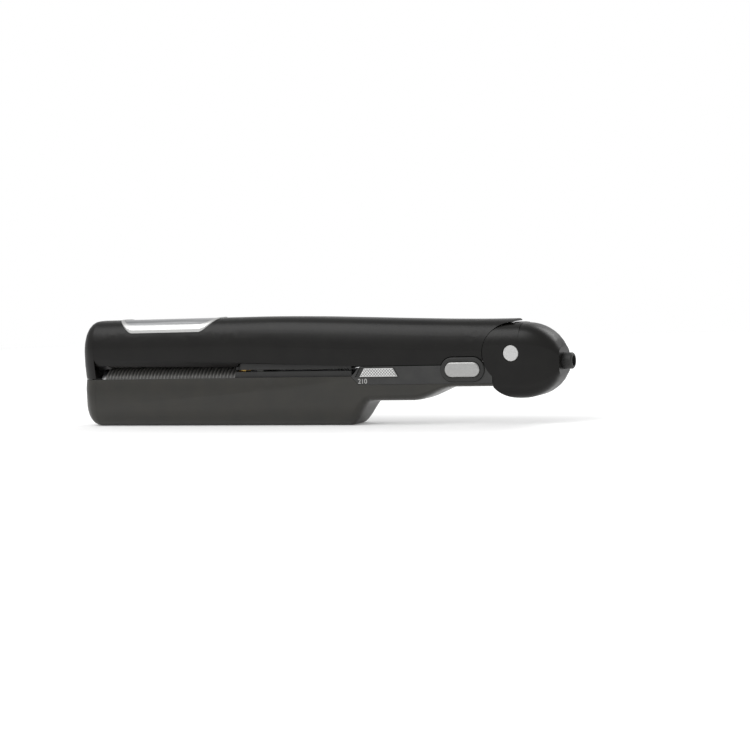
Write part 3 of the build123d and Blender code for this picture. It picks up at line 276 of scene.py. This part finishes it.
def worked_metal(name, dark, light, gloss, stretch, grain):
    """Metal with a grain of this size and height in mm, longer along each axis by stretch."""
    grain_mm, grain_high = grain
    material, tree = start_material(name)
    place = add_node(tree, "ShaderNodeTexCoord").outputs["Object"]
    scales = [1 / (grain_mm * MM * longer) for longer in stretch]
    drawn = add_node(tree, "ShaderNodeMapping", {"Vector": place, "Scale": scales}).outputs[0]
    streaks_inputs = {"Vector": drawn, "Scale": 1.0, "Detail": 6.0}
    streaks = add_node(tree, "ShaderNodeTexNoise", streaks_inputs).outputs["Fac"]
    clouds_inputs = {"Vector": place, "Scale": 1 / (CLOUD_MM * MM)}
    clouds = add_node(tree, "ShaderNodeTexNoise", clouds_inputs).outputs["Fac"]
    relief = add_node(tree, "ShaderNodeBump", {"Height": streaks, "Distance": grain_high * MM})
    share_inputs = {"Value": streaks, "From Min": NOISE_LOW, "From Max": NOISE_HIGH}
    share = add_node(tree, "ShaderNodeMapRange", share_inputs)
    tones = {MIX_SHARE: share.outputs[0], MIX_FIRST: linear(dark), MIX_SECOND: linear(light)}
    colour = add_node(tree, "ShaderNodeMix", tones, data_type="RGBA")
    gloss_inputs = {
        "Value": clouds,
        "To Min": gloss - METAL_SPREAD,
        "To Max": gloss + METAL_SPREAD,
    }
    roughness = add_node(tree, "ShaderNodeMapRange", gloss_inputs)
    close_material(
        tree,
        {
            "Metallic": 1.0,
            "Base Color": colour.outputs[MIX_RESULT],
            "Roughness": roughness.outputs[0],
            "Normal": relief.outputs[0],
        },
    )
    return material


# bead-blasted and anodised aluminium of the trims and the hinge caps: pale and cloudy
blasted = worked_metal(
    "blasted_aluminium", "#b9b9b8", "#c9c9c8", gloss=0.42, stretch=EVEN, grain=(0.5, 0.004)
)
# the button is plated ABS, a shade darker, with the same fine blasted look
plated = worked_metal(
    "satin_plated_abs", "#a0a09f", "#acacab", gloss=0.36, stretch=EVEN, grain=(0.5, 0.004)
)
# the window's insert is drawn lengthwise: streaks along X, wider than the real ones, to show
drawn_aluminium = worked_metal(
    "belt_drawn_aluminium", "#7d7e80", "#d4d5d6", gloss=0.34, stretch=ALONG_X, grain=(0.35, 0.01)
)
print("bright metals:", blasted.name, plated.name, drawn_aluminium.name)

# %% [markdown]
# Inside are plainer metals: bushes and pinions of turned steel, zinc-plated motor cans, heater
# cores of drawn steel, gears cut from brass, and black zinc screws. They show between the
# plates and when the arms are open, and each keeps the marks of the machine that made it. The
# hinge pin lies across, and the opening spring and the hinge bracket are pressed, but so little
# of these three shows that they share the look of the turned steel.

# %% Inner metals
# turned on a lathe: a clean highlight, and fine rings round X, the axis of bushes and pinions
turned_steel = worked_metal(
    "turned_steel", "#9a9a9b", "#b4b4b5", gloss=0.3, stretch=ROUND_X, grain=(0.2, 0.003)
)
# zinc plate crystallises in patches of 2 or 3 mm, which gives a pale, slightly blotchy grey
zinc_plate = worked_metal(
    "zinc_plated_steel", "#8f9294", "#a6a9ab", gloss=0.36, stretch=EVEN, grain=(2.5, 0.004)
)
# bar drawn through a die: dull grey with faint lines along X
drawn_steel = worked_metal(
    "drawn_steel", "#7f7f80", "#98989a", gloss=0.4, stretch=ALONG_X, grain=(0.4, 0.005)
)
# brass cut by a hob: warm yellow, bright on the flanks of the teeth
cut_brass = worked_metal(
    "machined_brass", "#b08d4a", "#cba75e", gloss=0.32, stretch=ROUND_X, grain=(0.2, 0.004)
)
# black zinc on the screws: a dark grey that still looks like metal
black_zinc = worked_metal(
    "black_zinc_plated_steel", "#4a4a4b", "#5c5c5d", gloss=0.38, stretch=EVEN, grain=(0.6, 0.004)
)
print("inner metals:", turned_steel.name, zinc_plate.name, cut_brass.name, black_zinc.name)

# %% [markdown]
# The barrels carry a sprayed ceramic coat: charcoal and satin, with small paler flecks and the
# slight orange peel that spraying leaves. The valleys are painted dark as shade, and the crests
# keep the coat's colour. So the colour follows the distance from the barrel's axis, which a
# Mapping node and a vector length give. Painting this shade by hand would need a UV map and an
# image.

# %% Sprayed ceramic
CERAMIC_IOR = 1.6
FLECK_MM = 0.6
# a fleck is pale up to the first share of its cell's size, and fades out at the second
FLECK_CORE = 0.05
FLECK_RIM = 0.25
PEEL_MM = 0.4
PEEL_HIGH_MM = 0.004
# the peel takes the roughness from the first of these to the second
SMOOTHEST = 0.28
ROUGHEST = 0.4
RIPPLE_DEPTH = 1.0 * MM
barrel_boxes = {arm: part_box(f"{arm}_barrel") for arm in ("lower", "upper")}
axis_z = {arm: (low[2] + high[2]) / 2 for arm, (low, high) in barrel_boxes.items()}
crest_r = (barrel_boxes["lower"][1][2] - barrel_boxes["lower"][0][2]) / 2
valley_r = crest_r - RIPPLE_DEPTH


def sprayed_ceramic(name, height):
    """The coat of a barrel whose axis is at this height: painted shade in its valleys, the coat's
    colour on its crests.
    """
    material, tree = start_material(name)
    place = add_node(tree, "ShaderNodeTexCoord").outputs["Object"]
    flecks_inputs = {"Vector": place, "Scale": 1 / (FLECK_MM * MM)}
    flecks = add_node(tree, "ShaderNodeTexVoronoi", flecks_inputs).outputs["Distance"]
    peel_inputs = {"Vector": place, "Scale": 1 / (PEEL_MM * MM), "Detail": 2.0}
    peel = add_node(tree, "ShaderNodeTexNoise", peel_inputs).outputs["Fac"]
    centring = {"Vector": place, "Location": (0, 0, -height), "Scale": (0, 1, 1)}
    across = add_node(tree, "ShaderNodeMapping", centring).outputs[0]
    radius = add_node(tree, "ShaderNodeVectorMath", {0: across}, operation="LENGTH")
    valley_shade_inputs = {"Value": radius.outputs["Value"], "From Min": valley_r, "From Max": crest_r}
    valley_shade = add_node(tree, "ShaderNodeMapRange", valley_shade_inputs)
    fading_inputs = {"Value": flecks, "From Min": FLECK_CORE, "From Max": FLECK_RIM}
    fading = add_node(tree, "ShaderNodeMapRange", fading_inputs)
    coat_tones = {
        MIX_SHARE: fading.outputs[0],
        MIX_FIRST: linear("#7e7d7a"),
        MIX_SECOND: linear("#63625f"),
    }
    coat = add_node(tree, "ShaderNodeMix", coat_tones, data_type="RGBA")
    # painted shade: the valleys go dark, and the crests keep the coat's colour
    shaded_coat_tones = {
        MIX_SHARE: valley_shade.outputs[0],
        MIX_FIRST: linear("#1d1d1c"),
        MIX_SECOND: coat.outputs[MIX_RESULT],
    }
    shaded_coat = add_node(tree, "ShaderNodeMix", shaded_coat_tones, data_type="RGBA")
    relief = add_node(tree, "ShaderNodeBump", {"Height": peel, "Distance": PEEL_HIGH_MM * MM})
    gloss_inputs = {"Value": peel, "To Min": SMOOTHEST, "To Max": ROUGHEST}
    gloss = add_node(tree, "ShaderNodeMapRange", gloss_inputs)
    close_material(
        tree,
        {
            "IOR": CERAMIC_IOR,
            "Base Color": shaded_coat.outputs[MIX_RESULT],
            "Roughness": gloss.outputs[0],
            "Normal": relief.outputs[0],
        },
    )
    return material


ceramic = {arm: sprayed_ceramic(f"sprayed_ceramic_{arm}", axis_z[arm]) for arm in axis_z}
print("barrel axes at", {arm: round(z / MM, 2) for arm, z in axis_z.items()}, "mm")

# %% [markdown]
# The control board is glass-fibre laminate under a dark green solder mask. The mask is glossy,
# and copper tracks show through it as slightly paler lines. Drawing real tracks would take a
# circuit plan. A brick pattern stands for them, and its mortar lines are the tracks: a brick is
# half the pattern's size long and a quarter of it high, so 1 mm by 0.5 mm.

# %% Solder mask
PATTERN_MM = 2
solder_mask, mask_tree = start_material("green_solder_mask")
facing = {
    "Vector": add_node(mask_tree, "ShaderNodeTexCoord").outputs["Object"],
    "Rotation": (pi / 2, 0, 0),
    "Scale": [1 / (PATTERN_MM * MM)] * 3,
}
track_inputs = {
    "Vector": add_node(mask_tree, "ShaderNodeMapping", facing).outputs[0],
    "Scale": 1.0,
    "Mortar Size": 0.12,
    "Color1": linear("#0b2413"),
    "Color2": linear("#0e2a16"),
    "Mortar": linear("#1b4425"),
}
tracks = add_node(mask_tree, "ShaderNodeTexBrick", track_inputs).outputs["Color"]
close_material(mask_tree, {"IOR": PLASTIC_IOR, "Roughness": 0.25, "Base Color": tracks})
print("board finish:", solder_mask.name)

# %% [markdown]
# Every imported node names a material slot. A dictionary from slot to finish gives each node its
# look in one loop, so that no node stays bare. Six nodes differ from the rest of their slot, so
# they get a finish of their own. Nodes that a finer piece stands for later keep their finish
# too, because the piece takes it over.

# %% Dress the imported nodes
finish_of_slot = {
    "black_casing": polished_abs,
    "black_inner": matt_abs,
    "grey_panel": eroded_abs,
    "barrel_ceramic": ceramic["lower"],
    "silver_trim": blasted,
    "streaked_panel": drawn_aluminium,
    "bearing_steel": turned_steel,
    "brass_gear": cut_brass,
    "motor_steel": zinc_plate,
    "core_steel": drawn_steel,
    "board_green": solder_mask,
    "switch_black": filled_nylon,
    "rubber_bumper": silicone,
    "screw_steel": black_zinc,
}
finish_of_node = {node: finish_of_slot[slot] for node, slot in slot_of.items()}
# the upper arm, its nose cap and the rear housing take the ABS painted darker as shade
finish_of_node["upper_casing"] = shaded_abs
finish_of_node["upper_nose_cap"] = shaded_abs
finish_of_node["rear_housing"] = shaded_abs
finish_of_node["hinge_caps"] = blasted
finish_of_node["rotation_button"] = plated
finish_of_node["upper_barrel"] = ceramic["upper"]
for node, cad_object in frame["nodes"].items():
    cad_object.data.materials.clear()
    cad_object.data.materials.append(finish_of_node[node])
print("finishes given to", len(frame["nodes"]), "nodes")

# %% [markdown]
# Pieces are made as by hand: one piece is selected, everything else is deselected, and an
# operator or a modifier works on it. These helpers hold the few steps that come back: select a
# piece or some of its faces, apply a modifier, shade it, and let it ride on the body that it
# belongs to.


# %% Helpers for pieces
def select_only(piece):
    """Select this piece alone, and make it the active one."""
    bpy.ops.object.select_all(action="DESELECT")
    piece.select_set(True)
    bpy.context.view_layer.objects.active = piece


def edit_faces(piece, wanted):
    """Enter edit mode on the active piece with only its wanted faces selected."""
    bpy.ops.object.mode_set(mode="EDIT")
    bpy.ops.mesh.select_all(action="DESELECT")
    bpy.ops.object.mode_set(mode="OBJECT")
    for face in piece.data.polygons:
        face.select = wanted(face)
    bpy.ops.object.mode_set(mode="EDIT")


def apply_modifier(piece, kind, **settings):
    """Add a modifier with these settings and apply it."""
    select_only(piece)
    modifier = piece.modifiers.new(kind.lower(), kind)
    for name, value in settings.items():
        setattr(modifier, name, value)
    bpy.ops.object.modifier_apply(modifier=modifier.name)


def shade(piece, degrees):
    """Shade smooth, with edges sharper than this angle left crisp."""
    select_only(piece)
    bpy.ops.object.shade_smooth_by_angle(angle=radians(degrees))


def finish_piece(piece, finish, node):
    """Give a piece its finish, and let it ride with this node's body."""
    piece.data.materials.clear()
    piece.data.materials.append(finish)
    for body, members in record["behaviour"]["bodies"].items():
        if node in members:
            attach(piece, body)


# %% [markdown]
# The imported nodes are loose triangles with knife-sharp edges. A real moulded edge has a small
# radius, and that radius catches the light along every seam. Modelling each shell anew could
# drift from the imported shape. So each node that shows most is copied, its corners merged, its
# flat triangles joined, and a narrow bevel put on its sharp edges. The copy stands for the node.

# %% Softened copies
MERGE_MM = 0.002
FLAT_DEG = 0.4
SHARP_DEG = 35
CRISP_DEG = 32


def merged_copy(node, name):
    """A copy of a node's mesh with its corners merged and its flat triangles joined."""
    piece = bpy.data.objects.new(name, frame["nodes"][node].data.copy())
    piece.data.name = name
    bpy.context.scene.collection.objects.link(piece)
    select_only(piece)
    bpy.ops.object.mode_set(mode="EDIT")
    bpy.ops.mesh.select_all(action="SELECT")
    bpy.ops.mesh.remove_doubles(threshold=MERGE_MM * MM)
    bpy.ops.mesh.dissolve_limited(angle_limit=radians(FLAT_DEG))
    bpy.ops.object.mode_set(mode="OBJECT")
    return piece


def softened_copy(node, edge_mm, segments=2, sharp_deg=SHARP_DEG, crisp_deg=CRISP_DEG):
    """A merged copy with its sharp edges bevelled, which stands for the node."""
    piece = merged_copy(node, node + "_finished")
    if edge_mm > 0:
        apply_modifier(
            piece,
            "BEVEL",
            width=edge_mm * MM,
            segments=segments,
            limit_method="ANGLE",
            angle_limit=radians(sharp_deg),
            use_clamp_overlap=True,
        )
    shade(piece, crisp_deg)
    apply_modifier(piece, "WEIGHTED_NORMAL", keep_sharp=True)
    finish_piece(piece, finish_of_node[node], node)
    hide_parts(node)
    return piece


# width of the bevel on each node: the window's insert has none, because its edge meets the frame
EDGE_MM = {
    "lower_casing": 0.4,
    "upper_casing": 0.25,
    "lower_nose_cap": 0.25,
    "upper_nose_cap": 0.25,
    "rear_housing": 0.4,
    "side_panel": 0.15,
    "button_bezel": 0.2,
    "rotation_button": 0.2,
    "window_trim": 0.25,
    "window_panel": 0.0,
    "lower_inner_plate": 0.2,
    "upper_inner_plate": 0.2,
    "hinge_caps": 0.15,
    "swivel_gland": 0.2,
    "lower_plate_screws": 0.15,
    "upper_plate_screws": 0.15,
    "handle_screws": 0.15,
}
softened = {node: softened_copy(node, edge_mm) for node, edge_mm in EDGE_MM.items()}
print("softened:", {node: len(piece.data.polygons) for node, piece in softened.items()})

# %% [markdown]
# The rippled barrels are the heart of the tool. Each is an aluminium tube, turned with a row of
# round ripples and sprayed with ceramic. Hair is pressed between one barrel's crests and the
# other one's valleys. A lathe profile could be spun again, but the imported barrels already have
# every ripple in mesh with the other barrel. Only their edges are sharp, so a bevel in three
# steps rounds the crests and the valleys, and smooth shading does the rest.

# %% Rippled barrels
RIPPLE_ROUND_MM = 0.45
RIPPLE_SHARP_DEG = 50
RIPPLE_CRISP_DEG = 60
for arm in ("lower", "upper"):
    barrel = softened_copy(
        f"{arm}_barrel",
        RIPPLE_ROUND_MM,
        segments=3,
        sharp_deg=RIPPLE_SHARP_DEG,
        crisp_deg=RIPPLE_CRISP_DEG,
    )
    print(barrel.name, "faces", len(barrel.data.polygons))

# %% [markdown]
# The slide switch has a knurled thumb: rows of small pyramids that a finger can grip. The real
# one comes out of its mould in one piece, but here two pieces that touch are easier. First the
# thumb's body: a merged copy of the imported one, whose front face is selected by its place and
# pushed back by the knurl's depth.

# %% Body of the thumb
KNURL_DEPTH = 0.5 * MM
# corners and faces this near the front belong to the front face
FACE_DEPTH = 0.05 * MM
thumb_low = Vector(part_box("slide_switch")[0])
front_y = thumb_low.y + FACE_DEPTH
thumb = merged_copy("slide_switch", "thumb_body")
face_corners = [v.co.copy() for v in thumb.data.vertices if v.co.y < front_y]
edit_faces(thumb, lambda face: face.center.y < front_y)
bpy.ops.transform.translate(value=(0, KNURL_DEPTH, 0))
bpy.ops.object.mode_set(mode="OBJECT")
shade(thumb, CRISP_DEG)
finish_piece(thumb, blasted, "slide_switch")
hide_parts("slide_switch")
print("corners of the thumb's front face:", len(face_corners))

# %% [markdown]
# Now the knurl. Modelling each pyramid by hand would take an hour. A grid turned by 45 degrees
# does it in one go: every square is poked to a point, and the sheet is given a thickness. The
# squares are 1.35 mm wide, a little coarser than the real ones, so that they show from afar.
# The sheet starts larger than the thumb. Its flat lies just in front of the thumb's body, and
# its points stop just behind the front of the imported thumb.

# %% Knurled sheet
KNURL_MM = 1.35
BACKING = 0.3 * MM
SHEET_SHARE = 0.9
POINT_SHARE = 0.85
left_x = min(corner.x for corner in face_corners)
right_x = max(corner.x for corner in face_corners)
low_z = min(corner.z for corner in face_corners)
high_z = max(corner.z for corner in face_corners)
middle_x = (left_x + right_x) / 2
middle_z = (low_z + high_z) / 2
sheet_y = thumb_low.y + SHEET_SHARE * KNURL_DEPTH
# two rows more than the thumb is wide, so that the turned sheet still covers its corners
rows = int((right_x - left_x) / (KNURL_MM * MM)) + 2
bpy.ops.object.select_all(action="DESELECT")
bpy.ops.mesh.primitive_grid_add(
    x_subdivisions=rows,
    y_subdivisions=rows,
    size=rows * KNURL_MM * MM,
    rotation=(pi / 2, pi / 4, 0),
    location=(middle_x, sheet_y, middle_z),
)
knurl = bpy.context.object
knurl.name = "thumb_knurl"
bpy.ops.object.mode_set(mode="EDIT")
bpy.ops.mesh.select_all(action="SELECT")
bpy.ops.mesh.poke(offset=POINT_SHARE * KNURL_DEPTH)
bpy.ops.object.mode_set(mode="OBJECT")
bpy.ops.object.transform_apply(location=True, rotation=True, scale=True)
apply_modifier(knurl, "SOLIDIFY", thickness=BACKING, offset=-1.0)
print("pyramids before trimming:", rows * rows)

# %% [markdown]
# The thumb's outline is a trapezoid, narrower at the top. A block is drawn over the sheet, its
# top is drawn in, and a boolean keeps only what the block and the sheet share. Deleting pyramids
# by hand would leave a ragged edge. A plain rim a fifth of a millimetre wide stays round it.

# %% Trim the knurl to the thumb
KNURL_BORDER = 0.2 * MM
BLOCK_DEPTH = 8 * KNURL_DEPTH
# the block's top is the face whose normal climbs more than this
UPWARD = 0.9
# each side of the thumb leans in by this share of its height, less a little for the border
SIDE_LEAN = 0.6
LEAN_SPARE = 0.3 * MM
top_inset = SIDE_LEAN * (high_z - low_z) - LEAN_SPARE
base_width = right_x - left_x - 2 * KNURL_BORDER
bpy.ops.object.select_all(action="DESELECT")
bpy.ops.mesh.primitive_cube_add(
    size=1.0,
    scale=(base_width, BLOCK_DEPTH, high_z - low_z - 2 * KNURL_BORDER),
    location=(middle_x, thumb_low.y, middle_z),
)
block = bpy.context.object
bpy.ops.object.transform_apply(location=True, rotation=True, scale=True)
edit_faces(block, lambda face: face.normal.z > UPWARD)
bpy.ops.transform.resize(
    value=(1 - 2 * top_inset / base_width, 1, 1),
    center_override=(middle_x, thumb_low.y, middle_z),
)
bpy.ops.object.mode_set(mode="OBJECT")
apply_modifier(knurl, "BOOLEAN", operation="INTERSECT", object=block, solver="EXACT")
bpy.data.objects.remove(block)
print("knurl faces after trimming:", len(knurl.data.polygons))

# %% [markdown]
# The knurl is plated and bright. Its grooves are painted dark as shade, which draws the diamond
# pattern more than the light does. Pointiness could find the grooves. Height is simpler and
# steadier: the colour runs from painted shade in the grooves to pale halfway up the points.

# %% Plating with painted shade in the grooves
# both are distances behind the thumb's front, as shares of the knurl's depth
DARK_FROM = 0.85
PALE_FROM = 0.52
knurl_plating_and_shade, knurl_tree = start_material("satin_plated_knurl_painted_shade")
knurl_place = add_node(knurl_tree, "ShaderNodeTexCoord").outputs["Object"]
split = add_node(knurl_tree, "ShaderNodeSeparateXYZ", {"Vector": knurl_place})
climb_inputs = {
    "Value": split.outputs["Y"],
    "From Min": thumb_low.y + DARK_FROM * KNURL_DEPTH,
    "From Max": thumb_low.y + PALE_FROM * KNURL_DEPTH,
}
climb = add_node(knurl_tree, "ShaderNodeMapRange", climb_inputs).outputs[0]
# painted shade: dark in the grooves, the plating's pale colour up the points
groove_shade_tones = {MIX_SHARE: climb, MIX_FIRST: linear("#3c3c3c"), MIX_SECOND: linear("#f6f6f5")}
groove_shade = add_node(knurl_tree, "ShaderNodeMix", groove_shade_tones, data_type="RGBA")
knurl_look = {"Metallic": 1.0, "Roughness": 0.35, "Base Color": groove_shade.outputs[MIX_RESULT]}
close_material(knurl_tree, knurl_look)
finish_piece(knurl, knurl_plating_and_shade, "slide_switch")
print("knurl finish:", knurl_plating_and_shade.name)

# %% [markdown]
# A temperature is printed under the switch. Ink is a film far thinner than a hair, so a decal
# would be right on a flat picture, but a decal needs an image. A text object is a curve: it is
# typed, made two hundredths of a millimetre proud of the panel, and turned into a mesh before its
# place is applied. It stands under the left end of the thumb.

# %% Printed temperature
DIGIT_MM = 3.0
# a digit is this share of the font's size high
DIGIT_SHARE = 0.7
INK_MM = 0.02
PRINT_SHIFT = 1.7 * MM
PRINT_DROP = 4.2 * MM
panel_low = Vector(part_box("side_panel")[0])
bpy.ops.object.select_all(action="DESELECT")
bpy.ops.object.text_add(
    rotation=(pi / 2, 0, 0),
    location=(thumb_low.x - PRINT_SHIFT, panel_low.y, thumb_low.z - PRINT_DROP),
)
printed = bpy.context.object
printed.data.body = "210"
printed.data.size = DIGIT_MM * MM / DIGIT_SHARE
printed.data.extrude = INK_MM * MM
bpy.ops.object.convert(target="MESH")
printed.name = "printed_temperature"
bpy.ops.object.transform_apply(location=True, rotation=True, scale=True)
finish_piece(printed, pale_ink, "side_panel")
print("printed number, faces:", len(printed.data.polygons))

# %% [markdown]
# A packshot stands on plain white. The floor is matt white paint, wide enough that its far edge
# still looks white, and it keeps the soft shadow that makes the tool sit. A trace of its own
# light lifts it to pure white. A curved backdrop would do as well, but here nothing shows it.

# %% Floor
FLOOR_SIZE = 1.9
FLOOR_LIFT = 0.1
bpy.ops.object.select_all(action="DESELECT")
bpy.ops.mesh.primitive_plane_add(size=FLOOR_SIZE, location=(0, 0, 0))
floor = bpy.context.object
floor.name = "studio_floor"
matt_paint, paint_tree = start_material("rolled_matt_paint")
close_material(
    paint_tree,
    {
        "Base Color": linear("#f7f7f7"),
        "Roughness": 0.8,
        "Specular IOR Level": 0.2,
        "Emission Color": (1, 1, 1, 1),
        "Emission Strength": FLOOR_LIFT,
    },
)
floor.data.materials.append(matt_paint)
print("floor:", FLOOR_SIZE, "m wide")

# %% [markdown]
# Two square soft boxes light the tool. The key hangs in front and above and draws one long
# highlight along each arm. The rim light stands behind and lifts the top edge off the white. A
# sun lamp would be simpler, but its hard shadow would cut the ripples to pieces.


# %% Lights
def soft_box(name, place, size, watts):
    """A square area light at place, turned to face the middle of the tool."""
    data = bpy.data.lights.new(name, "AREA")
    data.energy = watts
    data.size = size
    light = bpy.data.objects.new(name, data)
    bpy.context.scene.collection.objects.link(light)
    aim = (middle - Vector(place)).to_track_quat("-Z", "Y").to_matrix().to_4x4()
    light.matrix_world = Matrix.Translation(place) @ aim
    print(name, watts, "W")


middle = (Vector(cad_box[0]) + Vector(cad_box[1])) / 2
soft_box("key_light", place=(-0.5, -1.0, 1.3), size=1.2, watts=16)
soft_box("rim_light", place=(0.6, 0.9, 0.9), size=0.8, watts=6)

# %% [markdown]
# The room around is white too. Its light on the tool is kept a little lower than what the camera
# sees, so that black plastic stays black while the background stays pure white. The Light Path
# node tells the two apart.

# %% White room
ROOM_LIGHT = 0.75
world = bpy.data.worlds.new("white_room")
bpy.context.scene.world = world
world.use_nodes = True
room = world.node_tree
room.nodes.clear()
path = add_node(room, "ShaderNodeLightPath")
lit = add_node(room, "ShaderNodeBackground", {"Color": (1, 1, 1, 1), "Strength": ROOM_LIGHT})
seen = add_node(room, "ShaderNodeBackground", {"Color": (1, 1, 1, 1), "Strength": 1.0})
choice_inputs = {0: path.outputs["Is Camera Ray"], 1: lit.outputs[0], 2: seen.outputs[0]}
choice = add_node(room, "ShaderNodeMixShader", choice_inputs)
add_node(room, "ShaderNodeOutputWorld", {"Surface": choice.outputs[0]})
bpy.context.scene.view_settings.view_transform = "Standard"
print("room light:", ROOM_LIGHT)
